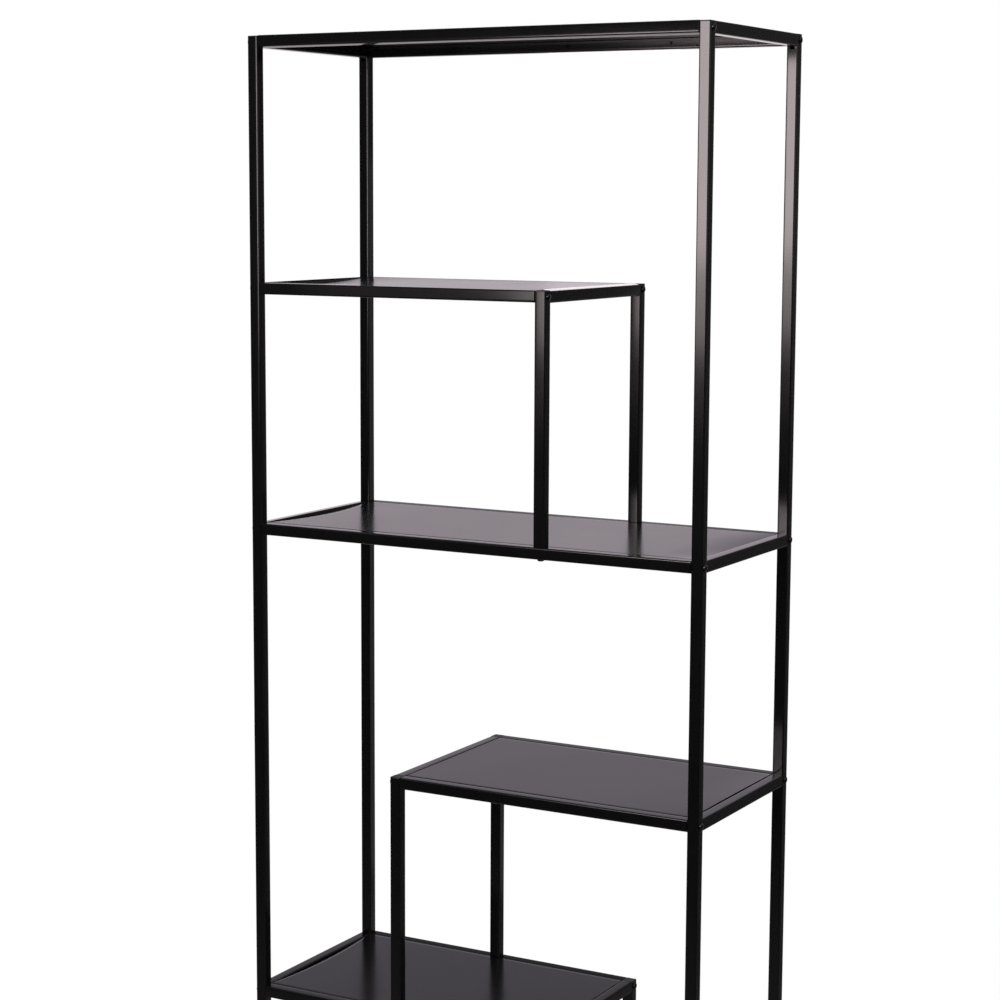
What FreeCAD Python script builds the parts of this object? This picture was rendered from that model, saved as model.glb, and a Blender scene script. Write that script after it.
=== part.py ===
import FreeCAD, Part
import math
import os

from FreeCAD import Vector

# Zigzag bookshelf of square steel tube. Millimetres, +Z up, +X to the right, +Y to the back.
# The origin is on the floor, under the middle of the unit.

# Overall size
unit_width = 700.0
unit_depth = 300.0
shelf_pitch = 340.0
partial_width = 470.0
bottom_clearance = 24.0

# Levels from the top down: which side each shelf reaches from
shelf_layout = ("full", "left", "full", "right", "left", "full")

# Square tube of the posts and rails
tube_size = 16.0
tube_wall = 1.2
bore_corner_radius = 0.8
rail_seam = 0.3

# Small round hole that vents each corner post under the top end rail
vent_radius = 3.5
vent_drop = 1.5

# Shelf panel, folded from sheet
sheet_thickness = 1.0
sheet_bend_radius = 1.0
flange_depth = 5.0
panel_drop = 0.1
panel_side_gap = 0.8
panel_end_gap = 0.8

# Studs under the panel's turned-down edges
stud_radius = 2.25
stud_length = 4.0
stud_end_offset = 12.0
stud_seat_gap = 0.05
full_stud_count = 5
partial_stud_count = 4

# Button-head bolt and the threaded insert that takes it
bolt_radius = 2.5
bolt_hole_clearance = 0.2
thread_clearance = 0.05
head_radius = 4.75
head_height = 2.75
head_flat_share = 0.45
head_rim_share = 0.4
head_bulge_share = 0.12
socket_flats = 3.0
socket_depth = 1.6
insert_length = 12.0
insert_clearance = 0.05

# Caps on the post tops
cap_head = 1.5
cap_edge_chamfer = 0.6
cap_plug_depth = 3.5
cap_clearance = 0.05

# Levelling feet
pad_radius = 8.0
pad_height = 7.0
pad_top_radius = 6.5
pad_rim_height = 2.5
pad_edge_chamfer = 0.8
pad_floor = 2.0
stem_radius = 3.0
stem_tip_chamfer = 0.6
stem_bolt_gap = 2.0
collar_flats = 10.0
collar_height = 3.0
foot_stop_gap = 0.2
foot_insert_length = 15.0

# Cuts run this far past the faces that they open
overrun = 1.0

# Sizes that follow from the ones above
half_tube = tube_size / 2
half_width = unit_width / 2
half_depth = unit_depth / 2
tube_corner_radius = bore_corner_radius + tube_wall
bore_size = tube_size - 2 * tube_wall
insert_size = bore_size - 2 * insert_clearance
bolt_length = tube_size + rail_seam + insert_length
foot_height = pad_height + collar_height
post_bottom = foot_height + foot_stop_gap
top_level = bottom_clearance + tube_size + shelf_pitch * (len(shelf_layout) - 1)
rail_line = half_depth - half_tube
rail_inner_face = half_depth - tube_size
rows = {"front": -rail_line, "rear": rail_line}

X_AXIS = Vector(1, 0, 0)
Y_AXIS = Vector(0, 1, 0)
Z_AXIS = Vector(0, 0, 1)
ORIGIN = Vector(0, 0, 0)
QUARTER_TURN = 90.0


def level_of(index):
    """Height of the rail tops of a level, counted from the top."""
    return top_level - index * shelf_pitch


def bolt_height(index):
    return level_of(index) - half_tube


def outer_faces(kind):
    """X of a shelf's left and right outer faces."""
    left = half_width - partial_width if kind == "right" else -half_width
    right = partial_width - half_width if kind == "left" else half_width
    return left, right


def shelf_name(index):
    return f"shelf_{index + 1}"


def save(name, solids):
    shape = solids[0] if len(solids) == 1 else Part.makeCompound(solids)
    shape.exportStep(os.path.join("parts", name + ".step"))


# Basic forms

def rounded_square(side, radius):
    """Square face about the origin in the XY plane, with round corners."""
    half = side / 2
    flat = half - radius
    mid = flat + radius * math.sqrt(0.5)
    edges = []
    for turn in range(4):
        side_line = Part.LineSegment(Vector(half, -flat, 0), Vector(half, flat, 0))
        corner = Part.Arc(Vector(half, flat, 0), Vector(mid, mid, 0), Vector(flat, half, 0))
        for curve in (side_line, corner):
            edge = curve.toShape()
            edge.rotate(ORIGIN, Z_AXIS, turn * QUARTER_TURN)
            edges.append(edge)
    return Part.Face(Part.Wire(Part.__sortEdges__(edges)))


def bar(side, radius, length):
    return rounded_square(side, radius).extrude(Vector(0, 0, length))


def tube(length):
    """Square tube that stands on the origin."""
    bore = bar(bore_size, bore_corner_radius, length + 2 * overrun)
    bore.translate(Vector(0, 0, -overrun))
    return bar(tube_size, tube_corner_radius, length).cut(bore)


def hexagon(flats, length):
    """Hexagonal prism that stands on the origin."""
    reach = flats / math.sqrt(3)
    corners = []
    for step in range(7):
        angle = step * math.pi / 3
        corners.append(Vector(reach * math.cos(angle), reach * math.sin(angle), 0))
    return Part.Face(Part.makePolygon(corners)).extrude(Vector(0, 0, length))


def turned(points):
    """Solid of revolution about Z from its half outline in the XZ plane."""
    outline = Part.makePolygon([Vector(x, 0, z) for x, z in points + points[:1]])
    return Part.Face(outline).revolve(ORIGIN, Z_AXIS, 360)


def laid(shape, direction):
    """Turns a shape that runs up Z so that it runs along +X, -X, +Y or +Z."""
    turns = {"+X": (Y_AXIS, 1), "-X": (Y_AXIS, -1), "+Y": (X_AXIS, -1), "+Z": (Z_AXIS, 0)}
    axis, sense = turns[direction]
    shape.rotate(ORIGIN, axis, sense * QUARTER_TURN)
    return shape


def placed(shape, direction, x, y, z):
    laid(shape, direction)
    shape.translate(Vector(x, y, z))
    return shape


def bolt_hole(x, y, z, direction):
    """Cutter through both walls of a tube whose middle is at x, y, z."""
    length = tube_size + 2 * overrun
    cutter = Part.makeCylinder(bolt_radius + bolt_hole_clearance, length, Vector(0, 0, -length / 2))
    return placed(cutter, direction, x, y, z)


# Fasteners

def button_bolt():
    """Bolt with its shank up Z and its domed, socketed head below the origin."""
    seat = Vector(head_radius, 0, 0)
    rim = Vector(head_radius, 0, -head_height * head_rim_share)
    crown = Vector(head_radius * head_flat_share, 0, -head_height)
    top = Vector(0, 0, -head_height)
    outward = (crown - rim).cross(Y_AXIS)
    bulge = (rim + crown) / 2 + outward * head_bulge_share
    shank = Part.makeCylinder(bolt_radius, bolt_length)
    edges = [
        Part.LineSegment(ORIGIN, seat),
        Part.LineSegment(seat, rim),
        Part.Arc(rim, bulge, crown),
        Part.LineSegment(crown, top),
        Part.LineSegment(top, ORIGIN),
    ]
    outline = Part.Wire([edge.toShape() for edge in edges])
    head = Part.Face(outline).revolve(ORIGIN, Z_AXIS, 360)
    socket = hexagon(socket_flats, socket_depth + overrun)
    socket.translate(Vector(0, 0, -head_height - overrun))
    return head.cut(socket).fuse(shank)


def threaded_insert():
    """Square plug that stands on the origin, bored for the bolt."""
    bore = Part.makeCylinder(bolt_radius + thread_clearance, insert_length + 2 * overrun)
    bore.translate(Vector(0, 0, -overrun))
    return bar(insert_size, bore_corner_radius, insert_length).cut(bore)


def panel_stud():
    return Part.makeCylinder(stud_radius, stud_length)


# Posts

def corner_post(side, row):
    """Full-height post at a corner, bored where a long rail is bolted to it."""
    x = half_width - half_tube if side == "right" else half_tube - half_width
    y = rows[row]
    post = tube(top_level - cap_head - post_bottom)
    post.translate(Vector(x, y, post_bottom))
    for index, kind in enumerate(shelf_layout):
        if kind in ("full", side):
            post = post.cut(bolt_hole(x, y, bolt_height(index), "+X"))
    return post.cut(vent_hole(x, row))


def vent_hole(x, row):
    """Cutter through the wall that faces the other row, just under the top end rail."""
    depth = tube_wall + 2 * overrun
    start = -rail_inner_face - tube_wall if row == "front" else rail_inner_face
    cutter = Part.makeCylinder(vent_radius, depth)
    return placed(cutter, "+Y", x, start - overrun, level_of(0) - tube_size - vent_drop)


def inner_post_x(kind):
    """Middle of the inner posts that carry a partial shelf's free end."""
    left, right = outer_faces(kind)
    return right - half_tube if kind == "left" else left + half_tube


def inner_post(index, kind, row):
    """Short post from the rail below up to the free end of a partial shelf."""
    x = inner_post_x(kind)
    post = tube(shelf_pitch - cap_head)
    post.translate(Vector(x, rows[row], level_of(index + 1)))
    return post.cut(bolt_hole(x, rows[row], bolt_height(index), "+X"))


# Rails

def end_rail(index, kind, side):
    """Rail from the front post to the rear one, welded flush with their outer faces."""
    left, right = outer_faces(kind)
    x = left + half_tube if side == "left" else right - half_tube
    rail = tube(unit_depth - 2 * tube_size)
    return placed(rail, "+Y", x, -rail_inner_face, bolt_height(index))


def rail_ends(kind):
    left, right = outer_faces(kind)
    return left + tube_size + rail_seam, right - tube_size - rail_seam


def long_rail(index, kind, row):
    """Front or rear rail between the posts, bored where an inner post stands on it."""
    start, end = rail_ends(kind)
    rail = placed(tube(end - start), "+X", start, rows[row], bolt_height(index))
    above = shelf_layout[index - 1] if index else "full"
    if above != "full":
        rail = rail.cut(bolt_hole(inner_post_x(above), rows[row], bolt_height(index), "+Z"))
    return rail


# Panels and what carries them

def shelf_panel(index, kind):
    """Folded sheet: flat top, front and rear edges turned down with a round bend."""
    left, right = outer_faces(kind)
    start = left + tube_size + panel_end_gap
    length = right - tube_size - panel_end_gap - start
    half = rail_inner_face - panel_side_gap
    outer = panel_half_outline(half, 0, sheet_bend_radius + sheet_thickness)
    inner = panel_half_outline(half - sheet_thickness, -sheet_thickness, sheet_bend_radius)
    left_tip = Part.LineSegment(Vector(0, -half, -flange_depth),
                                Vector(0, sheet_thickness - half, -flange_depth)).toShape()
    right_tip = Part.LineSegment(Vector(0, half, -flange_depth),
                                 Vector(0, half - sheet_thickness, -flange_depth)).toShape()
    outline = Part.Wire(Part.__sortEdges__(outer + inner + [left_tip, right_tip]))
    panel = Part.Face(outline).extrude(Vector(length, 0, 0))
    panel.translate(Vector(start, 0, level_of(index) - panel_drop))
    return panel


def panel_half_outline(half, top, radius):
    """One skin of the folded sheet in the YZ plane: flange, bend, top, bend, flange."""
    flat = half - radius
    shoulder = top - radius
    reach = radius * math.sqrt(0.5)
    curves = [
        Part.LineSegment(Vector(0, -half, -flange_depth), Vector(0, -half, shoulder)),
        Part.Arc(Vector(0, -half, shoulder), Vector(0, -flat - reach, shoulder + reach), Vector(0, -flat, top)),
        Part.LineSegment(Vector(0, -flat, top), Vector(0, flat, top)),
        Part.Arc(Vector(0, flat, top), Vector(0, flat + reach, shoulder + reach), Vector(0, half, shoulder)),
        Part.LineSegment(Vector(0, half, shoulder), Vector(0, half, -flange_depth)),
    ]
    return [curve.toShape() for curve in curves]


def shelf_studs(index, kind):
    """Studs in a row on the inner face of both long rails, just under the panel's edges."""
    left, right = outer_faces(kind)
    first = left + tube_size + stud_end_offset
    last = right - tube_size - stud_end_offset
    count = full_stud_count if kind == "full" else partial_stud_count
    z = level_of(index) - panel_drop - flange_depth - stud_seat_gap - stud_radius
    studs = []
    for step in range(count):
        x = first + (last - first) * step / (count - 1)
        studs.append(placed(panel_stud(), "+Y", x, -rail_inner_face, z))
        studs.append(placed(panel_stud(), "+Y", x, rail_inner_face - stud_length, z))
    return studs


# Groups of fasteners

def shelf_bolts(index, kind):
    """One bolt through each post that a level's long rails meet."""
    left, right = outer_faces(kind)
    bolts = []
    for y in rows.values():
        bolts.append(placed(button_bolt(), "+X", left, y, bolt_height(index)))
        bolts.append(placed(button_bolt(), "-X", right, y, bolt_height(index)))
    return bolts


def rail_inserts(index, kind):
    start, end = rail_ends(kind)
    inserts = []
    for y in rows.values():
        inserts.append(placed(threaded_insert(), "+X", start, y, bolt_height(index)))
        inserts.append(placed(threaded_insert(), "-X", end, y, bolt_height(index)))
    return inserts


def inner_post_bolts(index, kind):
    """Bolts up through the rails below into the feet of the inner posts."""
    x = inner_post_x(kind)
    under = level_of(index + 1) - tube_size
    return [placed(button_bolt(), "+Z", x, y, under) for y in rows.values()]


def inner_post_inserts(index, kind):
    x = inner_post_x(kind)
    return [placed(threaded_insert(), "+Z", x, y, level_of(index + 1) + rail_seam) for y in rows.values()]


def post_cap():
    """Square cap with its head's underside on the origin and its plug below."""
    head = bar(tube_size, tube_corner_radius, cap_head)
    top_edges = [edge for edge in head.Edges if edge.BoundBox.ZMin > cap_head / 2]
    head = head.makeChamfer(cap_edge_chamfer, top_edges)
    plug = bar(bore_size - 2 * cap_clearance, bore_corner_radius, cap_plug_depth)
    plug.translate(Vector(0, 0, -cap_plug_depth))
    return head.fuse(plug).removeSplitter()


def corner_caps():
    x = half_width - half_tube
    places = [(side * x, y) for side in (-1, 1) for y in rows.values()]
    return [placed(post_cap(), "+Z", px, py, top_level - cap_head) for px, py in places]


def inner_caps(index, kind):
    x = inner_post_x(kind)
    return [placed(post_cap(), "+Z", x, y, level_of(index) - cap_head) for y in rows.values()]


# Levelling feet

def foot_insert():
    """Square plug in the foot of a corner post, bored for the foot's stem."""
    bore = Part.makeCylinder(stem_radius + thread_clearance, foot_insert_length + 2 * overrun)
    bore.translate(Vector(0, 0, -overrun))
    return bar(insert_size, bore_corner_radius, foot_insert_length).cut(bore)


def foot_stem():
    """Threaded stem with a hexagon collar that sits on the pad."""
    tip = bolt_height(len(shelf_layout) - 1) - bolt_radius - stem_bolt_gap
    stem = turned([
        (0, pad_floor),
        (stem_radius, pad_floor),
        (stem_radius, tip - stem_tip_chamfer),
        (stem_radius - stem_tip_chamfer, tip),
        (0, tip),
    ])
    collar = hexagon(collar_flats, collar_height)
    collar.translate(Vector(0, 0, pad_height))
    return stem.fuse(collar)


def foot_pad():
    """Round pad on the floor, with a socket for the stem."""
    socket = stem_radius + thread_clearance
    return turned([
        (0, 0),
        (pad_radius - pad_edge_chamfer, 0),
        (pad_radius, pad_edge_chamfer),
        (pad_radius, pad_rim_height),
        (pad_top_radius, pad_height),
        (socket, pad_height),
        (socket, pad_floor),
        (0, pad_floor),
    ])


def build_posts():
    for row in rows:
        for side in ("left", "right"):
            save(f"post_{row}_{side}", [corner_post(side, row)])


def build_shelf(index, kind):
    name = shelf_name(index)
    for row in rows:
        save(f"{name}_{row}_rail", [long_rail(index, kind, row)])
    for side in ("left", "right"):
        save(f"{name}_{side}_end_rail", [end_rail(index, kind, side)])
    save(f"{name}_panel", [shelf_panel(index, kind)])
    if kind != "full":
        for row in rows:
            save(f"{name}_inner_post_{row}", [inner_post(index, kind, row)])


def build_fasteners():
    levels = list(enumerate(shelf_layout))
    partial = [(index, kind) for index, kind in levels if kind != "full"]
    groups = {
        "panel_studs": (shelf_studs, levels),
        "side_bolts": (shelf_bolts, levels),
        "rail_end_inserts": (rail_inserts, levels),
        "inner_post_bolts": (inner_post_bolts, partial),
        "inner_post_inserts": (inner_post_inserts, partial),
        "inner_post_caps": (inner_caps, partial),
    }
    for name, (maker, places) in groups.items():
        save(name, [solid for index, kind in places for solid in maker(index, kind)])
    save("corner_post_caps", corner_caps())


def build_feet():
    inserts = []
    for row, y in rows.items():
        for side, sign in (("left", -1), ("right", 1)):
            x = sign * (half_width - half_tube)
            inserts.append(placed(foot_insert(), "+Z", x, y, post_bottom))
            save(f"foot_stem_{row}_{side}", [placed(foot_stem(), "+Z", x, y, 0)])
            save(f"foot_pad_{row}_{side}", [placed(foot_pad(), "+Z", x, y, 0)])
    save("foot_inserts", inserts)


os.makedirs("parts", exist_ok=True)
build_posts()
for shelf_index, shelf_kind in enumerate(shelf_layout):
    build_shelf(shelf_index, shelf_kind)
build_fasteners()
build_feet()
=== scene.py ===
import math

import bpy
import numpy as np
from mathutils import Matrix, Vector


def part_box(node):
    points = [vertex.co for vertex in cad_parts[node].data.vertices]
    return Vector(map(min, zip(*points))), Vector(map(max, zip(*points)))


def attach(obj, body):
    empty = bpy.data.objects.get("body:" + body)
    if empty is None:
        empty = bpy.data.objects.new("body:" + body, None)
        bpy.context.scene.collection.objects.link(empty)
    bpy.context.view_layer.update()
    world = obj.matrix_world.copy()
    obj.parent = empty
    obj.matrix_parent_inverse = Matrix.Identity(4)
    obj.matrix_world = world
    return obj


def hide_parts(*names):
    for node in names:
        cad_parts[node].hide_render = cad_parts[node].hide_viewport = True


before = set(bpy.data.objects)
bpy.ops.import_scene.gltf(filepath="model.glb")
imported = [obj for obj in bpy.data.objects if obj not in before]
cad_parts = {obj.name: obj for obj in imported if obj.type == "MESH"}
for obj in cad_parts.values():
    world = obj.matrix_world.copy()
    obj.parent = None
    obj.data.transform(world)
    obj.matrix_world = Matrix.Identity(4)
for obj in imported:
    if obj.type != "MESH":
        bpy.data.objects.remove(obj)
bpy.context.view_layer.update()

mm = 0.001
rows = ("front", "rear")
sides = ("left", "right")
shelfNumbers = range(1, 7)
partialShelves = (2, 4, 5)


# Small helpers for arrays and nodes

def box(node):  # a CAD node's corners as arrays
    low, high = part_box(node)
    return np.array(low), np.array(high)


def middle(node):
    low, high = box(node)
    return (low + high) / 2


def axesAlong(direction):  # right-handed local axes whose third one points along +X, -X, +Y, +Z or -Z
    third = {"+X": (1, 0, 0), "-X": (-1, 0, 0), "+Y": (0, 1, 0), "+Z": (0, 0, 1), "-Z": (0, 0, -1)}[direction]
    first = {"+X": (0, 1, 0), "-X": (0, 1, 0), "+Y": (0, 0, 1), "+Z": (1, 0, 0), "-Z": (1, 0, 0)}[direction]
    third, first = np.array(third, float), np.array(first, float)
    return np.stack([first, np.cross(third, first), third])


def gridQuads(rowCount, colCount, wrapRows=False, wrapCols=False):  # index quads of a grid of points
    r, c = np.meshgrid(np.arange(rowCount - (not wrapRows)), np.arange(colCount - (not wrapCols)), indexing="ij")
    rNext, cNext = (r + 1) % rowCount, (c + 1) % colCount
    return np.stack([r * colCount + c, r * colCount + cNext, rNext * colCount + cNext, rNext * colCount + c], -1)


def placed(shape, origin, direction):  # carries a shape made along local Z to its place
    points, faces = shape
    return np.asarray(origin) + points @ axesAlong(direction), faces


def joined(shapes):  # several shapes as one
    starts = np.cumsum([0] + [len(points) for points, faces in shapes])
    points = np.concatenate([points for points, faces in shapes])
    faces = [part + start for (_, group), start in zip(shapes, starts) for part in group]
    return points, faces


def addPiece(name, shape, finish, slotName, bodyName, *nodes, sharpAngle=35.0):
    points, faces = shape
    corners = np.concatenate([part.ravel() for part in faces])
    sizes = np.concatenate([np.full(len(part), part.shape[1]) for part in faces])
    mesh = bpy.data.meshes.new(name)
    mesh.vertices.add(len(points))
    mesh.vertices.foreach_set("co", points.astype(np.float32).ravel())
    mesh.loops.add(len(corners))
    mesh.loops.foreach_set("vertex_index", corners.astype(np.int32))
    mesh.polygons.add(len(sizes))
    mesh.polygons.foreach_set("loop_start", (np.cumsum(sizes) - sizes).astype(np.int32))
    mesh.update(calc_edges=True)
    mesh.polygons.foreach_set("use_smooth", np.ones(len(sizes), bool))
    mesh.set_sharp_from_angle(angle=math.radians(sharpAngle))
    mesh.materials.append(finish)
    piece = bpy.data.objects.new(name, mesh)
    bpy.context.scene.collection.objects.link(piece)
    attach(piece, bodyName)
    if nodes:
        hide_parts(*nodes)


def addNode(tree, kind, operation=None, **sockets):  # a node with its operation and its inputs set by name
    node = tree.nodes.new(kind)
    if operation:
        node.operation = operation
    for key, value in sockets.items():
        node.inputs[key.replace("_", " ")].default_value = value
    return node


# Finishes

grain = {"ior": 1.5, "patchDetail": 3.0, "peelDetail": 2.0, "bumpStrength": 1.0}  # the same in every finish
powderCoat = {"colour": (0.0029, 0.0028, 0.0030, 1), "paler": (0.0041, 0.0040, 0.0042, 1), "roughness": 0.125,
              "roughnessSpread": 0.015, "patchSize": 0.035, "peelSize": 0.0011, "peelHeight": 0.000002}
sheetCoat = {"colour": (0.0030, 0.0028, 0.0032, 1), "paler": (0.0042, 0.0040, 0.0044, 1), "roughness": 0.20,
             "roughnessSpread": 0.012, "patchSize": 0.060, "peelSize": 0.0013, "peelHeight": 0.000002}
blackZinc = {"colour": (0.060, 0.060, 0.062, 1), "paler": (0.080, 0.079, 0.081, 1), "roughness": 0.22,
             "roughnessSpread": 0.06, "patchSize": 0.002, "peelSize": 0.0004, "peelHeight": 0.000003}
brightZinc = {"colour": (0.56, 0.56, 0.55, 1), "paler": (0.70, 0.69, 0.66, 1), "roughness": 0.30,
              "roughnessSpread": 0.10, "patchSize": 0.003, "peelSize": 0.0005, "peelHeight": 0.000004}
mouldedNylon = {"colour": (0.010, 0.010, 0.010, 1), "paler": (0.015, 0.015, 0.015, 1), "roughness": 0.42,
                "roughnessSpread": 0.08, "patchSize": 0.006, "peelSize": 0.0006, "peelHeight": 0.000012}


def finish(name, look, metallic=0.0):  # patchy colour and roughness from one noise, fine peel from another
    material = bpy.data.materials.new(name)
    material.use_nodes = True
    tree = material.node_tree
    shader = tree.nodes["Principled BSDF"]
    shader.inputs["Metallic"].default_value = metallic
    shader.inputs["IOR"].default_value = grain["ior"]
    where = tree.nodes.new("ShaderNodeTexCoord")
    patches = addNode(tree, "ShaderNodeTexNoise", Scale=1 / look["patchSize"], Detail=grain["patchDetail"])
    peel = addNode(tree, "ShaderNodeTexNoise", Scale=1 / look["peelSize"], Detail=grain["peelDetail"])
    colour = tree.nodes.new("ShaderNodeMix")
    colour.data_type = "RGBA"
    colour.inputs["A"].default_value = look["colour"]
    colour.inputs["B"].default_value = look["paler"]
    gloss = addNode(tree, "ShaderNodeMapRange", To_Min=look["roughness"] - look["roughnessSpread"],
                    To_Max=look["roughness"] + look["roughnessSpread"])
    bump = addNode(tree, "ShaderNodeBump", Strength=grain["bumpStrength"], Distance=look["peelHeight"])
    link = tree.links.new
    link(where.outputs["Object"], patches.inputs["Vector"])
    link(where.outputs["Object"], peel.inputs["Vector"])
    link(patches.outputs["Fac"], colour.inputs["Factor"])
    link(patches.outputs["Fac"], gloss.inputs["Value"])
    link(peel.outputs["Fac"], bump.inputs["Height"])
    link(colour.outputs["Result"], shader.inputs["Base Color"])
    link(gloss.outputs["Result"], shader.inputs["Roughness"])
    link(bump.outputs["Normal"], shader.inputs["Normal"])
    return material


tubeFinish = finish("satinBlackTube", powderCoat)
panelFinish = finish("satinBlackSheet", sheetCoat)
boltFinish = finish("blackZincBolt", blackZinc, metallic=1.0)
zincFinish = finish("brightZinc", brightZinc, metallic=1.0)
nylonFinish = finish("blackNylon", mouldedNylon)
print("finishes made")


# Posts and rails

tubeStock = {"side": 16.0 * mm, "wall": 1.2 * mm, "cornerRadius": 2.0 * mm, "faceCrown": 0.05 * mm,
             "edgeBreak": 0.25 * mm, "cornerSteps": 8, "faceSteps": 6}
vent = {"radius": 3.5 * mm, "drop": 1.5 * mm}
railTwist = {"shelf_1_front_rail": -6.0, "shelf_2_left_end_rail": -4.0, "shelf_2_right_end_rail": 9.0,
             "shelf_3_left_end_rail": -4.0, "shelf_3_rear_rail": 5.0, "shelf_4_rear_rail": 2.0,
             "shelf_5_rear_rail": 4.5}  # degrees about its own length


def tubeProfile(side, radius, crown, turn=0.0):
    # One side is a crowned line, then a quarter circle; the other three sides are it turned by quarters.
    half, flat = side / 2, side / 2 - radius
    along = np.linspace(-flat, flat, tubeStock["faceSteps"] + 1)
    line = np.stack([half + crown * (1 - (along / flat) ** 2), along], -1)
    angle = np.linspace(0, math.pi / 2, tubeStock["cornerSteps"] + 1)[1:-1]
    arc = flat + radius * np.stack([np.cos(angle), np.sin(angle)], -1)
    quarter = np.concatenate([line, arc])
    turns = np.arange(4) * math.pi / 2 + math.radians(turn)
    first = np.stack([np.cos(turns), np.sin(turns)], -1)
    second = np.stack([-np.sin(turns), np.cos(turns)], -1)
    return np.einsum("pi,qij->qpj", quarter, np.stack([first, second], 1)).reshape(-1, 2)


def tubeShape(length, turn, ventAt, ventFace):
    # Outer profile carried up the length, then the bore's profile carried back down: one closed skin.
    side, edge, steps = tubeStock["side"], tubeStock["edgeBreak"], tubeStock["faceSteps"]
    boreRadius = tubeStock["cornerRadius"] - tubeStock["wall"]
    boreSide = side - 2 * tubeStock["wall"]
    outer = tubeProfile(side, tubeStock["cornerRadius"], tubeStock["faceCrown"], turn)
    bore = tubeProfile(boreSide, boreRadius, 0.0, turn)
    flat = side / 2 - tubeStock["cornerRadius"]
    ventLevels = [] if ventAt is None else list(ventAt + np.linspace(-flat, flat, steps + 1))
    levels = np.array([0.0, edge] + ventLevels + [length - edge, length])
    broken = np.ones(len(levels))
    broken[[0, -1]] = 1 - 2 * edge / side
    outside = np.concatenate([outer[None] * broken[:, None, None],
                              np.broadcast_to(levels[:, None, None], (len(levels), len(outer), 1))], -1)
    inside = np.concatenate([np.broadcast_to(bore[None], (len(levels),) + bore.shape),
                             np.broadcast_to(levels[::-1, None, None], (len(levels), len(bore), 1))], -1)
    points = np.concatenate([outside, inside]).reshape(-1, 3)
    quads = gridQuads(2 * len(levels), len(outer), True, True)
    if ventAt is None:
        return points, [quads.reshape(-1, 4)]
    return ventedTube(points, quads, len(levels), ventAt, ventFace, boreSide / 2, side / 2)


def ventedTube(points, quads, levelCount, ventAt, ventFace, boreHalf, half):
    # Takes a square of cells out of both skins of one face and bridges each to a circle of the vent's radius.
    steps = tubeStock["faceSteps"]
    colCount = quads.shape[1]
    firstRow = 2  # after the two levels of the end's broken edge
    firstCol = ventFace * (steps + tubeStock["cornerSteps"])
    keep = np.ones(quads.shape[:2], bool)
    keep[firstRow:firstRow + steps, firstCol:firstCol + steps] = False
    lastRow = 2 * levelCount - 1 - firstRow
    keep[lastRow - steps:lastRow, firstCol:firstCol + steps] = False
    up = np.arange(steps)
    rowLoop = np.concatenate([0 * up, up, 0 * up + steps, steps - up])
    colLoop = np.concatenate([up, 0 * up + steps, steps - up, 0 * up])
    outerRim = (firstRow + rowLoop) * colCount + firstCol + colLoop
    innerRim = (lastRow - rowLoop) * colCount + firstCol + colLoop
    centre = steps / 2
    angle = np.arctan2(rowLoop - centre, colLoop - centre)
    across, high = vent["radius"] * np.cos(angle), ventAt + vent["radius"] * np.sin(angle)
    turn = ventFace * math.pi / 2
    circles = [np.stack([depth * math.cos(turn) - across * math.sin(turn),
                         depth * math.sin(turn) + across * math.cos(turn), high], -1)
               for depth in (half + tubeStock["faceCrown"], boreHalf)]
    outerCircle = len(points) + np.arange(len(angle))
    innerCircle = outerCircle + len(angle)

    def band(first, second):  # quads between two loops of the same count
        return np.stack([first, np.roll(first, -1), np.roll(second, -1), second], -1)

    bands = [band(outerRim, outerCircle), band(outerCircle, innerCircle), band(innerCircle, innerRim)]
    return np.concatenate([points] + circles), [quads[keep]] + bands


def tubePiece(node, ventFace=None):
    low, high = box(node)
    size = high - low
    axis = int(np.argmax(size))
    start = (low + high) / 2
    start[axis] = low[axis]
    ventAt = None
    if ventFace is not None:
        ventAt = box("shelf_1_left_end_rail")[0][2] - vent["drop"] - low[2]
    shape = tubeShape(size[axis], railTwist.get(node, 0.0), ventAt, ventFace)
    addPiece(node + "_tube", placed(shape, start, ("+X", "+Y", "+Z")[axis]), tubeFinish, "frame_coat",
             "frame", node)


for side in sides:
    tubePiece(f"post_front_{side}", ventFace=1)  # the side toward +Y
    tubePiece(f"post_rear_{side}", ventFace=3)  # the side toward -Y
for number in shelfNumbers:
    for row in rows:
        tubePiece(f"shelf_{number}_{row}_rail")
    for side in sides:
        tubePiece(f"shelf_{number}_{side}_end_rail")
for number in partialShelves:
    for row in rows:
        tubePiece(f"shelf_{number}_inner_post_{row}")
print("posts and rails made")


# Shelf panels

sheet = {"thickness": 1.0 * mm, "bendRadius": 1.0 * mm, "alongSteps": 90, "acrossSteps": 48, "bendSteps": 6,
         "flangeSteps": 2, "sideSpread": 0.5 * mm, "lipDepth": 9.0 * mm, "middleDrop": 0.3 * mm, "bow": 2,
         "lean": 0.4, "creaseEase": 0.6 * mm}
usualEnd = {"left": 0.3 * mm, "leftReach": 0.060, "crease": 0.0, "creaseSlope": 0.1, "right": 0.0,
            "rightReach": 0.065}
freeEnds = {2: {"left": 4.6 * mm, "leftReach": 0.100},
            3: {"crease": 24 * mm, "creaseSlope": 0.17, "right": 3.6 * mm},
            4: {"right": -0.9 * mm},
            5: {"crease": 10 * mm, "creaseSlope": 0.36}}  # where a shelf's ends aren't the usual ones


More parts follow.
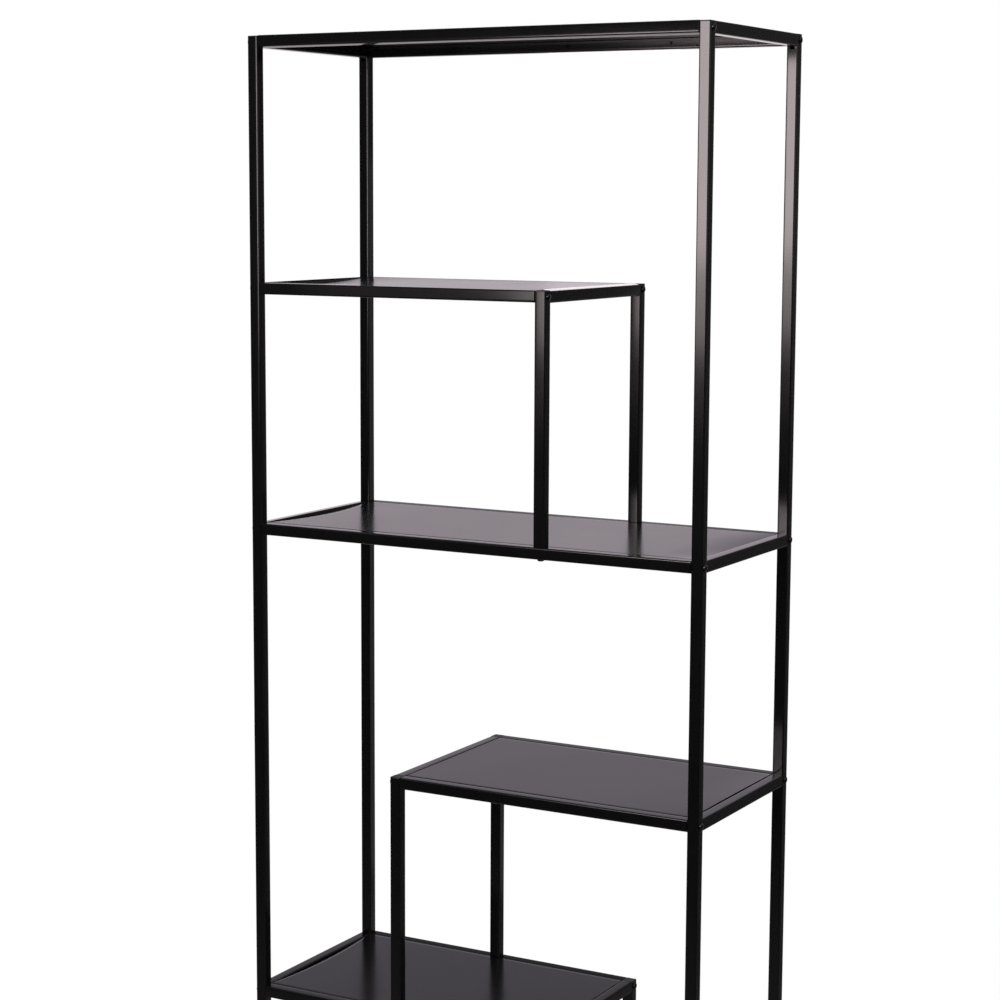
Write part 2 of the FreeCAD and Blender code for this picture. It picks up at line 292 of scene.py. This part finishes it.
def panelSkin(half, flange):
    # Outline from the +Y edge to the -Y edge: flange, quarter bend, flat top, and the same mirrored, with the
    # lower skin one sheet thickness inside it.
    radius = sheet["bendRadius"] + sheet["thickness"]
    rise = np.linspace(-flange, -radius, sheet["flangeSteps"] + 1)[:-1]
    bend = np.linspace(0, math.pi / 2, sheet["bendSteps"] + 1)
    edge = np.concatenate([np.stack([np.full(len(rise), half), rise], -1),
                           np.stack([half - radius + radius * np.cos(bend), radius * np.sin(bend) - radius], -1)])
    edgeOut = np.concatenate([np.tile([1.0, 0.0], (len(rise), 1)), np.stack([np.cos(bend), np.sin(bend)], -1)])
    flat = np.linspace(half - radius, radius - half, sheet["acrossSteps"] + 1)[1:-1]
    mirror = np.array([-1.0, 1.0])
    skin = np.concatenate([edge, np.stack([flat, 0 * flat], -1), edge[::-1] * mirror])
    out = np.concatenate([edgeOut, np.tile([0.0, 1.0], (len(flat), 1)), edgeOut[::-1] * mirror])
    return skin, skin - sheet["thickness"] * out


def panelSag(x, y, length, half, ends):
    # Down at each point: at the left a bell and a slope that begins past a curved crease, at the right a parabola,
    # and over the length a squared sine, all fading out as a parabola toward the stiff front and rear edges.
    out = np.clip(y / half, -1, 1)
    bow = 1 - np.abs(out) ** sheet["bow"]
    past = np.clip(ends["crease"] * bow - x, 0, None)
    bent = ends["creaseSlope"] * past ** 2 / (past + sheet["creaseEase"])
    left = ends["left"] * np.exp(-(x / ends["leftReach"]) ** 2) * (1 - sheet["lean"] * out)
    right = ends["right"] * np.clip(1 - (length - x) / ends["rightReach"], 0, 1) ** 2
    belly = sheet["middleDrop"] * np.sin(math.pi * x / length) ** 2
    return -(left + right + belly) * bow - bent


def panelSize(low, high):  # length along X and half the width along Y
    return high[0] - low[0], (high[1] - low[1]) / 2 + sheet["sideSpread"]


def panelShape(low, high, ends):
    # The folded outline carried along X, each point lowered by the sag.
    length, half = panelSize(low, high)
    top, under = panelSkin(half, high[2] - low[2])
    loop = np.concatenate([top, under[::-1]])
    ease = (1 - np.cos(np.linspace(0, math.pi, sheet["alongSteps"] + 1))) / 2  # stations crowd near the ends
    x, y = np.meshgrid(ease * length, loop[:, 0], indexing="ij")
    z = loop[None, :, 1] + panelSag(x, y, length, half, ends)
    points = np.stack([low[0] + x, y, high[2] + z], -1)
    stations, around = x.shape
    first = np.arange(len(top) - 1)
    last = around - 1 - first
    endFaces = np.stack([first, first + 1, last - 1, last], -1)
    faces = [gridQuads(stations, around, False, True).reshape(-1, 4), endFaces[:, ::-1],
             endFaces + (stations - 1) * around]
    return points.reshape(-1, 3), faces


def lipShape(low, high, ends, atRight):
    # The end's folded edge: a four-cornered loop, one sheet thick and a lip deep, carried along Y under the end.
    length, half = panelSize(low, high)
    reach = half - sheet["bendRadius"] - 2 * sheet["thickness"]
    y = np.linspace(-reach, reach, sheet["acrossSteps"] + 1)
    outer = length if atRight else 0.0
    inner = outer - sheet["thickness"] if atRight else sheet["thickness"]
    x = np.tile([outer, inner, inner, outer], (len(y), 1))
    under = panelSag(0 * y + outer, y, length, half, ends)[:, None] - sheet["thickness"]
    z = under - np.array([0.0, 0.0, 1.0, 1.0]) * sheet["lipDepth"]
    points = np.stack([low[0] + x, np.broadcast_to(y[:, None], x.shape), high[2] + z], -1)
    lastLoop = 4 * (len(y) - 1)
    faces = [gridQuads(len(y), 4, False, True).reshape(-1, 4), np.array([[3, 2, 1, 0]]),
             np.array([[0, 1, 2, 3]]) + lastLoop]
    if atRight:
        faces = [part[:, ::-1] for part in faces]
    return points.reshape(-1, 3), faces


for number in shelfNumbers:
    low, high = box(f"shelf_{number}_panel")
    ends = {**usualEnd, **freeEnds.get(number, {})}
    lips = [lipShape(low, high, ends, atRight) for atRight in (False, True)]
    shape = joined([panelShape(low, high, ends)] + lips)
    addPiece(f"shelf_{number}_folded_panel", shape, panelFinish, "panel_coat", "frame", f"shelf_{number}_panel")
print("panels made")


# Turned pieces: bolts, studs, caps and feet

def stackRings(radii, heights, turns):
    # One ring at each height, its points at the given radii and angles round the axis, with both ends closed.
    count, around = radii.shape
    points = np.stack([radii * np.cos(turns), radii * np.sin(turns),
                       np.broadcast_to(np.asarray(heights)[:, None], radii.shape)], -1)
    poles = np.array([[0, 0, heights[0]], [0, 0, heights[-1]]])
    ring = np.arange(around)
    nextRing = (ring + 1) % around
    pole, lastRow = count * around, (count - 1) * around
    bottom = np.stack([0 * ring + pole, nextRing, ring], -1)
    top = np.stack([0 * ring + pole + 1, ring + lastRow, nextRing + lastRow], -1)
    return (np.concatenate([points.reshape(-1, 3), poles]),
            [gridQuads(count, around, False, True).reshape(-1, 4), bottom, top])


def lathe(radii, heights, turns):  # rings at shared angles, each radius being one number or a row of numbers
    return stackRings(np.stack([np.broadcast_to(r, turns.shape) for r in radii]), heights, turns)


def circleTurns(count):
    return np.arange(count) * 2 * math.pi / count


def hexRadius(flats, turns):  # distance from the axis to a hexagon's outline
    return flats / 2 / np.cos((turns + math.pi / 6) % (math.pi / 3) - math.pi / 6)


bolt = {"shankRadius": 2.5 * mm, "shankLength": 28.3 * mm, "tipChamfer": 0.4 * mm, "headRadius": 4.75 * mm,
        "headHeight": 2.75 * mm, "rimHeight": 1.1 * mm, "crownRadius": 2.2 * mm, "socketFlats": 3.0 * mm,
        "socketDepth": 1.6 * mm, "socketBevel": 0.15 * mm, "domeSteps": 8, "around": 48}


def boltShape():
    # Shank, head rim, a dome whose slope turns from upright to flat, and a hexagon socket.
    turns = circleTurns(bolt["around"])
    climb = np.linspace(0, math.pi / 2, bolt["domeSteps"] + 1)
    dome = bolt["crownRadius"] + (bolt["headRadius"] - bolt["crownRadius"]) * np.cos(climb)
    rise = bolt["rimHeight"] + (bolt["headHeight"] - bolt["rimHeight"]) * np.sin(climb)
    tip = bolt["shankRadius"] - bolt["tipChamfer"]
    socket = hexRadius(bolt["socketFlats"], turns)
    floor = bolt["headHeight"] - bolt["socketDepth"]
    radii = [tip, bolt["shankRadius"], bolt["shankRadius"], bolt["headRadius"], *dome,
             socket + bolt["socketBevel"], socket, socket]
    heights = [-bolt["shankLength"], bolt["tipChamfer"] - bolt["shankLength"], 0, 0, *rise,
               bolt["headHeight"], bolt["headHeight"] - bolt["socketBevel"], floor]
    return lathe(radii, heights, turns)


def sideBolts():
    shapes = []
    for number in shelfNumbers:
        leftFace = box(f"shelf_{number}_left_end_rail")[0][0]
        rightFace = box(f"shelf_{number}_right_end_rail")[1][0]
        for row in rows:
            x, y, z = middle(f"shelf_{number}_{row}_rail")
            shapes.append(placed(boltShape(), (leftFace, y, z), "-X"))
            shapes.append(placed(boltShape(), (rightFace, y, z), "+X"))
    return joined(shapes)


def underBolts():
    shapes = []
    for number in partialShelves:
        for row in rows:
            x, y, z = middle(f"shelf_{number}_inner_post_{row}")
            under = box(f"shelf_{number + 1}_{row}_rail")[0][2]
            shapes.append(placed(boltShape(), (x, y, under), "-Z"))
    return joined(shapes)


addPiece("side_dome_bolts", sideBolts(), boltFinish, "black_bolt", "frame", "side_bolts")
addPiece("under_dome_bolts", underBolts(), boltFinish, "black_bolt", "frame", "inner_post_bolts")
print("bolts made")

stud = {"radius": 2.25 * mm, "length": 4.0 * mm, "chamfer": 0.4 * mm, "endOffset": 12.0 * mm, "seatGap": 0.05 * mm,
        "fullCount": 5, "partialCount": 4, "around": 24}


def studShape():  # short round pin with a broken edge at its free end
    radius, length, chamfer = stud["radius"], stud["length"], stud["chamfer"]
    return lathe([radius, radius, radius - chamfer], [0, length - chamfer, length], circleTurns(stud["around"]))


def panelStuds():
    shapes = []
    for number in shelfNumbers:
        low, high = box(f"shelf_{number}_panel")
        left = box(f"shelf_{number}_left_end_rail")[1][0] + stud["endOffset"]
        right = box(f"shelf_{number}_right_end_rail")[0][0] - stud["endOffset"]
        count = stud["partialCount"] if number in partialShelves else stud["fullCount"]
        z = low[2] - stud["seatGap"] - stud["radius"]
        frontFace = box(f"shelf_{number}_front_rail")[1][1]
        rearFace = box(f"shelf_{number}_rear_rail")[0][1]
        for x in np.linspace(left, right, count):
            points, faces = studShape()
            shapes.append(placed((points, faces), (x, frontFace, z), "+Y"))
            turned = points * np.array([-1.0, 1.0, -1.0])
            shapes.append(placed((turned, faces), (x, rearFace, z), "+Y"))
    return joined(shapes)


addPiece("panel_rest_studs", panelStuds(), tubeFinish, "frame_coat", "frame", "panel_studs")

cap = {"head": 1.5 * mm, "edgeRadius": 0.8 * mm, "plugDepth": 3.5 * mm, "plugGap": 0.05 * mm, "dish": 0.06 * mm,
       "dishRings": (0.55, 0.2), "edgeSteps": 5}


def capShape():
    # Square rings: the plug, the head's side, a quarter round at its edge, and a top that dips a little.
    side = tubeStock["side"]
    plugSide = side - 2 * tubeStock["wall"] - 2 * cap["plugGap"]
    head = tubeProfile(side, tubeStock["cornerRadius"], 0.0)
    plug = tubeProfile(plugSide, tubeStock["cornerRadius"] - tubeStock["wall"], 0.0)
    climb = np.linspace(0, math.pi / 2, cap["edgeSteps"] + 1)
    inset = cap["edgeRadius"] * (1 - np.cos(climb))
    rise = cap["head"] - cap["edgeRadius"] * (1 - np.sin(climb))
    shares = np.concatenate([[1.0], 1 - 2 * inset / side, cap["dishRings"]])
    dish = np.full(len(cap["dishRings"]), cap["head"] - cap["dish"])
    rings = np.concatenate([np.stack([plug, plug]), head[None] * shares[:, None, None]])
    heights = np.concatenate([[-cap["plugDepth"], 0.0], [0.0], rise, dish])
    radii = np.hypot(rings[..., 0], rings[..., 1])
    turns = np.arctan2(rings[..., 1], rings[..., 0])
    return stackRings(radii, heights, turns)


def capsOn(posts):
    shapes = []
    for node in posts:
        x, y, z = middle(node)
        shapes.append(placed(capShape(), (x, y, box(node)[1][2]), "+Z"))
    return joined(shapes)


cornerPosts = [f"post_{row}_{side}" for row in rows for side in sides]
innerPosts = [f"shelf_{number}_inner_post_{row}" for number in partialShelves for row in rows]
addPiece("corner_caps", capsOn(cornerPosts), nylonFinish, "black_plastic", "frame", "corner_post_caps")
addPiece("inner_caps", capsOn(innerPosts), nylonFinish, "black_plastic", "frame", "inner_post_caps")
print("studs and caps made")

foot = {"padRadius": 8.0 * mm, "padTopRadius": 6.5 * mm, "padHeight": 7.0 * mm, "padRim": 2.5 * mm,
        "padChamfer": 0.8 * mm, "padShoulder": 0.35 * mm, "padTopEase": 0.2 * mm, "padTopBevel": 0.4 * mm,
        "gripCount": 16, "gripDepth": 0.35 * mm, "padAround": 96, "stemRadius": 3.0 * mm,
        "threadPitch": 1.0 * mm, "threadDepth": 0.45 * mm, "threadPower": 0.8, "threadSteps": 8,
        "tipChamfer": 0.6 * mm, "collarFlats": 10.0 * mm, "collarHeight": 3.0 * mm, "collarBevel": 0.4 * mm,
        "collarRound": 1.06, "around": 48}


def padShape():
    # Round pad: broken lower edge, a rim with shallow grips, a cone up to the collar.
    turns = circleTurns(foot["padAround"])
    grip = foot["gripDepth"] * np.clip(np.cos(foot["gripCount"] * turns), 0, 1)
    radii = [foot["padRadius"] - foot["padChamfer"], foot["padRadius"] - grip, foot["padRadius"] - grip,
             foot["padRadius"] - foot["padShoulder"], foot["padTopRadius"] + foot["padTopEase"],
             foot["padTopRadius"] - foot["padTopEase"]]
    heights = [0, foot["padChamfer"], foot["padRim"], foot["padRim"] + foot["padShoulder"],
               foot["padHeight"] - foot["padTopBevel"], foot["padHeight"]]
    return lathe(radii, heights, turns)


def stemShape(tip):
    # Hexagon collar with rounded-off corners, then a thread whose groove climbs one pitch for each turn.
    turns = circleTurns(foot["around"])
    collar = hexRadius(foot["collarFlats"], turns)
    eased = np.minimum(collar, foot["collarFlats"] / 2 * foot["collarRound"])
    base, top = foot["padHeight"], foot["padHeight"] + foot["collarHeight"]
    climb = np.arange(top, tip - foot["tipChamfer"], foot["threadPitch"] / foot["threadSteps"])
    phase = (climb[:, None] / foot["threadPitch"] - turns / (2 * math.pi)) % 1
    thread = foot["stemRadius"] - foot["threadDepth"] * (1 - np.abs(2 * phase - 1)) ** foot["threadPower"]
    radii = [eased, collar, collar, eased, *thread, foot["stemRadius"] - foot["tipChamfer"]]
    heights = [base, base + foot["collarBevel"], top - foot["collarBevel"], top, *climb, tip]
    return lathe(radii, heights, turns)


for row in rows:
    for side in sides:
        corner = f"{row}_{side}"
        x, y, z = middle(f"foot_pad_{corner}")
        addPiece(f"foot_{corner}_grip_pad", placed(padShape(), (x, y, 0), "+Z"), nylonFinish, "black_plastic",
                 f"foot_{corner}", f"foot_pad_{corner}")
        tip = box(f"foot_stem_{corner}")[1][2]
        addPiece(f"foot_{corner}_threaded_stem", placed(stemShape(tip), (x, y, 0), "+Z"), zincFinish, "zinc_steel",
                 f"foot_{corner}", f"foot_stem_{corner}")
print("feet made")


# Weld beads in the corners under the end rails, where they meet the posts

bead = {"leg": 1.5 * mm, "sunk": 0.1, "ripple": 0.10, "ripplePitch": 1.7 * mm, "width": 12.5 * mm,
        "endPower": 6, "endLeast": 0.0004, "alongSteps": 44, "arcSteps": 7, "sharpAngle": 60.0}


def beadShape():
    # A quarter-round fillet along its length, its radius rippled and drawn in almost to nothing at both ends.
    along = np.linspace(-1, 1, bead["alongSteps"] + 1)
    draw = np.sqrt(np.clip(1 - np.abs(along) ** bead["endPower"], bead["endLeast"], 1))
    ripple = 1 + bead["ripple"] * np.abs(np.sin(math.pi * along * bead["width"] / 2 / bead["ripplePitch"]))
    angle = np.linspace(0, math.pi / 2, bead["arcSteps"] + 1)
    reach = bead["leg"] * (draw * ripple)[:, None]
    sunk = -bead["sunk"] * reach
    first = np.concatenate([sunk, reach * np.cos(angle)], 1)
    second = np.concatenate([sunk, reach * np.sin(angle)], 1)
    return stackRings(np.hypot(first, second), along * bead["width"] / 2, np.arctan2(second, first))


def weldBeads():
    shapes = []
    points, faces = beadShape()
    reverse = [part[:, ::-1] for part in faces]
    for number in shelfNumbers:
        for side in sides:
            low, high = box(f"shelf_{number}_{side}_end_rail")
            x = (low[0] + high[0]) / 2
            for y, ySign in ((low[1], 1.0), (high[1], -1.0)):
                where = np.stack([x + points[:, 2], y + ySign * points[:, 0], low[2] - points[:, 1]], -1)
                shapes.append((where, faces if ySign < 0 else reverse))
    return joined(shapes)


addPiece("weld_beads", weldBeads(), tubeFinish, "frame_coat", "frame", sharpAngle=bead["sharpAngle"])
print("weld beads made")

for node in ("rail_end_inserts", "inner_post_inserts", "foot_inserts"):  # inner pieces keep their CAD shape
    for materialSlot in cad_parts[node].material_slots:
        materialSlot.material = zincFinish


# Camera, light and floor

view = {"place": (1.56369, -2.84157, 1.52656), "turnLeft": 0.5112, "lookDown": 0.1309, "roll": 0.0044,
        "focalPixels": 2334.95, "picturePixels": 1000.0, "sensor": 36.0, "farthest": 200.0}


def addCamera():
    data = bpy.data.cameras.new("camera")
    data.sensor_width = view["sensor"]
    data.lens = view["focalPixels"] / view["picturePixels"] * view["sensor"]
    data.clip_end = view["farthest"]
    camera = bpy.data.objects.new("camera", data)
    bpy.context.scene.collection.objects.link(camera)
    turn, down, roll = view["turnLeft"], view["lookDown"], view["roll"]
    forward = np.array([-math.sin(turn) * math.cos(down), math.cos(turn) * math.cos(down), -math.sin(down)])
    right = np.array([math.cos(turn), math.sin(turn), 0.0])
    up = np.cross(right, forward)
    right, up = right * math.cos(roll) + up * math.sin(roll), up * math.cos(roll) - right * math.sin(roll)
    columns = np.stack([right, up, -forward], 1)
    camera.matrix_world = Matrix.Translation(view["place"]) @ Matrix(columns.tolist()).to_4x4()
    bpy.context.scene.camera = camera


lamps = {
    "softbox": {"middle": (-0.31, -2.00, 1.725), "aim": (0.2, 0.0), "width": 0.82, "height": 0.69,
                "radiance": 6.0, "colour": (1.0, 0.875, 0.89), "onPaint": True},
    "softEdge": {"middle": (-0.07, -2.00, 1.625), "aim": (0.2, 0.0), "width": 1.64, "height": 0.85,
                 "radiance": 3.6, "colour": (1.0, 0.875, 0.89), "onPaint": False},
    "softTail": {"middle": (-0.58, -2.00, 1.54), "aim": (0.2, 0.0), "width": 1.56, "height": 1.02,
                 "radiance": 0.22, "colour": (1.0, 0.90, 0.91), "onPaint": False},
    "backCard": {"middle": (-0.61, 1.50, 1.715), "aim": (-0.61, 0.0), "width": 0.30, "height": 0.17,
                 "radiance": 1.4, "colour": (1.0, 0.95, 0.97), "onPaint": False},
    "sideCard": {"middle": (0.54, 1.50, 0.80), "aim": (0.54, 0.0), "width": 0.38, "height": 1.60,
                 "radiance": 0.16, "colour": (1.0, 0.95, 0.97), "onPaint": False},
    "sideGlow": {"middle": (0.95, 1.52, 1.05), "aim": (0.95, 0.0), "width": 1.40, "height": 2.10,
                 "radiance": 0.04, "colour": (1.0, 0.95, 0.97), "onPaint": False},
}


def addLamp(name, look):  # an upright soft lamp facing the shelf, never seen by the camera itself
    data = bpy.data.lights.new(name, "AREA")
    data.shape = "RECTANGLE"
    data.size, data.size_y = look["width"], look["height"]
    data.energy = look["radiance"] * math.pi * look["width"] * look["height"]
    data.color = look["colour"]
    lamp = bpy.data.objects.new(name, data)
    bpy.context.scene.collection.objects.link(lamp)
    away = np.array([look["middle"][0] - look["aim"][0], look["middle"][1] - look["aim"][1], 0.0])
    away /= np.linalg.norm(away)
    upright = np.array([0.0, 0.0, 1.0])
    columns = np.stack([np.cross(upright, away), upright, away], 1)
    lamp.matrix_world = Matrix.Translation(look["middle"]) @ Matrix(columns.tolist()).to_4x4()
    lamp.visible_camera = False
    lamp.visible_diffuse = look["onPaint"]


studio = {"fill": 0.88, "fillColour": (1.0, 0.985, 0.99, 1), "whiteShare": 1.0, "dim": 0.03, "floorGlow": 1.0,
          "brightest": 1.3, "rise": 0.5, "backdropTurn": 0.5112, "backdropFrom": 0.62, "backdropTo": 0.90,
          "room": 0.6, "roomFrom": 0.66, "roomTo": 0.90}
backdrop = ((0.00, 1.16, (1.00, 0.915, 0.945)),  # a direction's rise, its brightness and its tint
            (0.05, 0.92, (1.00, 0.91, 0.95)),
            (0.14, 0.66, (1.00, 0.895, 0.985)),
            (0.24, 0.50, (0.98, 0.90, 1.03)),
            (0.34, 0.26, (0.96, 0.91, 1.05)),
            (0.50, 0.08, (0.96, 0.91, 1.05)))


def backdropFacing(tree):  # how directly a direction points to the backdrop
    facing = addNode(tree, "ShaderNodeVectorMath", "DOT_PRODUCT")
    facing.inputs[1].default_value = (-math.sin(studio["backdropTurn"]), math.cos(studio["backdropTurn"]), 0.0)
    return facing


def smoothRange(tree, **sockets):  # a map range that eases in and out
    node = addNode(tree, "ShaderNodeMapRange", **sockets)
    node.interpolation_type = "SMOOTHSTEP"
    return node


def chooseByRay(tree, plain, reflected, white, whiteShare, out):
    # Glossy rays see the reflected shader, all others the plain one; camera rays see a share of white over it.
    path = tree.nodes.new("ShaderNodeLightPath")
    glossy = addNode(tree, "ShaderNodeMath", "MAXIMUM")
    share = addNode(tree, "ShaderNodeMath", "MULTIPLY")
    share.inputs[1].default_value = whiteShare
    inMetal = tree.nodes.new("ShaderNodeMixShader")
    toCamera = tree.nodes.new("ShaderNodeMixShader")
    link = tree.links.new
    link(path.outputs["Is Glossy Ray"], glossy.inputs[0])
    link(path.outputs["Is Transmission Ray"], glossy.inputs[1])
    link(glossy.outputs[0], inMetal.inputs[0])
    link(plain.outputs[0], inMetal.inputs[1])
    link(reflected.outputs[0], inMetal.inputs[2])
    link(path.outputs["Is Camera Ray"], share.inputs[0])
    link(share.outputs[0], toCamera.inputs[0])
    link(inMetal.outputs[0], toCamera.inputs[1])
    link(white.outputs[0], toCamera.inputs[2])
    link(toCamera.outputs[0], out.inputs["Surface"])


def addWorld():
    # White to the camera. Reflections see the pale backdrop behind the shelf, some light to the sides and above,
    # and a dim studio elsewhere.
    world = bpy.data.worlds.new("studio")
    bpy.context.scene.world = world
    world.use_nodes = True
    tree = world.node_tree
    tree.nodes.clear()
    brightest = studio["brightest"]
    where = tree.nodes.new("ShaderNodeTexCoord")
    facing = backdropFacing(tree)
    behind = smoothRange(tree, From_Min=studio["backdropFrom"], From_Max=studio["backdropTo"])
    parts = tree.nodes.new("ShaderNodeSeparateXYZ")
    rise = addNode(tree, "ShaderNodeMapRange", From_Min=0.0, From_Max=studio["rise"])
    fade = tree.nodes.new("ShaderNodeValToRGB")
    stops = fade.color_ramp.elements
    while len(stops) < len(backdrop):
        stops.new(1.0)
    for stop, (height, level, tint) in zip(stops, backdrop):
        stop.position = height / studio["rise"]
        stop.color = [level / brightest * part for part in tint] + [1.0]
    sideways = addNode(tree, "ShaderNodeMath", "ABSOLUTE")
    aside = addNode(tree, "ShaderNodeMath", "MAXIMUM")
    room = smoothRange(tree, From_Min=studio["roomFrom"], From_Max=studio["roomTo"],
                       To_Min=studio["dim"] / brightest, To_Max=studio["room"] / brightest)
    around = tree.nodes.new("ShaderNodeMix")
    around.data_type = "RGBA"
    fill = addNode(tree, "ShaderNodeBackground", Color=studio["fillColour"], Strength=studio["fill"])
    reflected = addNode(tree, "ShaderNodeBackground", Strength=brightest)
    white = addNode(tree, "ShaderNodeBackground", Color=(1, 1, 1, 1), Strength=1.0)
    out = tree.nodes.new("ShaderNodeOutputWorld")
    link = tree.links.new
    link(where.outputs["Generated"], facing.inputs[0])
    link(where.outputs["Generated"], parts.inputs[0])
    link(parts.outputs["Z"], rise.inputs["Value"])
    link(rise.outputs["Result"], fade.inputs["Fac"])
    link(facing.outputs["Value"], behind.inputs["Value"])
    link(parts.outputs["X"], sideways.inputs[0])
    link(sideways.outputs[0], aside.inputs[0])
    link(parts.outputs["Z"], aside.inputs[1])
    link(aside.outputs[0], room.inputs["Value"])
    link(room.outputs["Result"], around.inputs["A"])
    link(behind.outputs["Result"], around.inputs["Factor"])
    link(fade.outputs["Color"], around.inputs["B"])
    link(around.outputs["Result"], reflected.inputs["Color"])
    chooseByRay(tree, fill, reflected, white, studio["whiteShare"], out)


floorLook = {"reach": 40.0, "colour": (0.97, 0.97, 0.97, 1), "whiteShare": 0.88, "whiteLevel": 1.023,
             "glowColour": (1.0, 0.915, 0.945, 1), "nearGlow": 0.12, "nearFrom": 0.8, "nearTo": 2.2,
             "farFrom": 4.0, "farTo": 16.0, "farShare": 0.5}


def addFloor():
    # Pale floor that the camera sees almost white, with the object's shadow kept in it. In reflections it glows
    # toward the backdrop, less from near than from far.
    steps = np.linspace(-floorLook["reach"], floorLook["reach"], 3)
    x, y = np.meshgrid(steps, steps, indexing="xy")
    mesh = bpy.data.meshes.new("floor")
    mesh.from_pydata(np.stack([x, y, 0 * x], -1).reshape(-1, 3).tolist(), [],
                     gridQuads(len(steps), len(steps)).reshape(-1, 4).tolist())
    floor = bpy.data.objects.new("floor", mesh)
    bpy.context.scene.collection.objects.link(floor)
    material = bpy.data.materials.new("paleFloor")
    material.use_nodes = True
    mesh.materials.append(material)
    tree = material.node_tree
    tree.nodes.clear()
    where = tree.nodes.new("ShaderNodeTexCoord")
    heading = addNode(tree, "ShaderNodeVectorMath", "NORMALIZE")
    facing = backdropFacing(tree)
    sweep = smoothRange(tree, From_Min=studio["backdropFrom"], From_Max=studio["backdropTo"],
                        To_Min=studio["dim"], To_Max=studio["floorGlow"])
    distance = addNode(tree, "ShaderNodeVectorMath", "LENGTH")
    near = addNode(tree, "ShaderNodeMapRange", From_Min=floorLook["nearFrom"], From_Max=floorLook["nearTo"],
                   To_Min=floorLook["nearGlow"], To_Max=0.0)
    far = addNode(tree, "ShaderNodeMapRange", From_Min=floorLook["farFrom"], From_Max=floorLook["farTo"],
                  To_Min=floorLook["farShare"], To_Max=1.0)
    glow = addNode(tree, "ShaderNodeMath", "MULTIPLY_ADD")
    paint = addNode(tree, "ShaderNodeBsdfDiffuse", Color=floorLook["colour"])
    reflected = addNode(tree, "ShaderNodeEmission", Color=floorLook["glowColour"])
    white = addNode(tree, "ShaderNodeEmission", Color=(1, 1, 1, 1), Strength=floorLook["whiteLevel"])
    out = tree.nodes.new("ShaderNodeOutputMaterial")
    link = tree.links.new
    link(where.outputs["Object"], heading.inputs[0])
    link(heading.outputs["Vector"], facing.inputs[0])
    link(facing.outputs["Value"], sweep.inputs["Value"])
    link(where.outputs["Object"], distance.inputs[0])
    link(distance.outputs["Value"], near.inputs["Value"])
    link(distance.outputs["Value"], far.inputs["Value"])
    link(sweep.outputs["Result"], glow.inputs[0])
    link(far.outputs["Result"], glow.inputs[1])
    link(near.outputs["Result"], glow.inputs[2])
    link(glow.outputs[0], reflected.inputs["Strength"])
    chooseByRay(tree, paint, reflected, white, floorLook["whiteShare"], out)


addCamera()
for name, look in lamps.items():
    addLamp(name, look)
addWorld()
addFloor()
bpy.context.scene.view_settings.view_transform = "Standard"
print("camera, light and floor made")
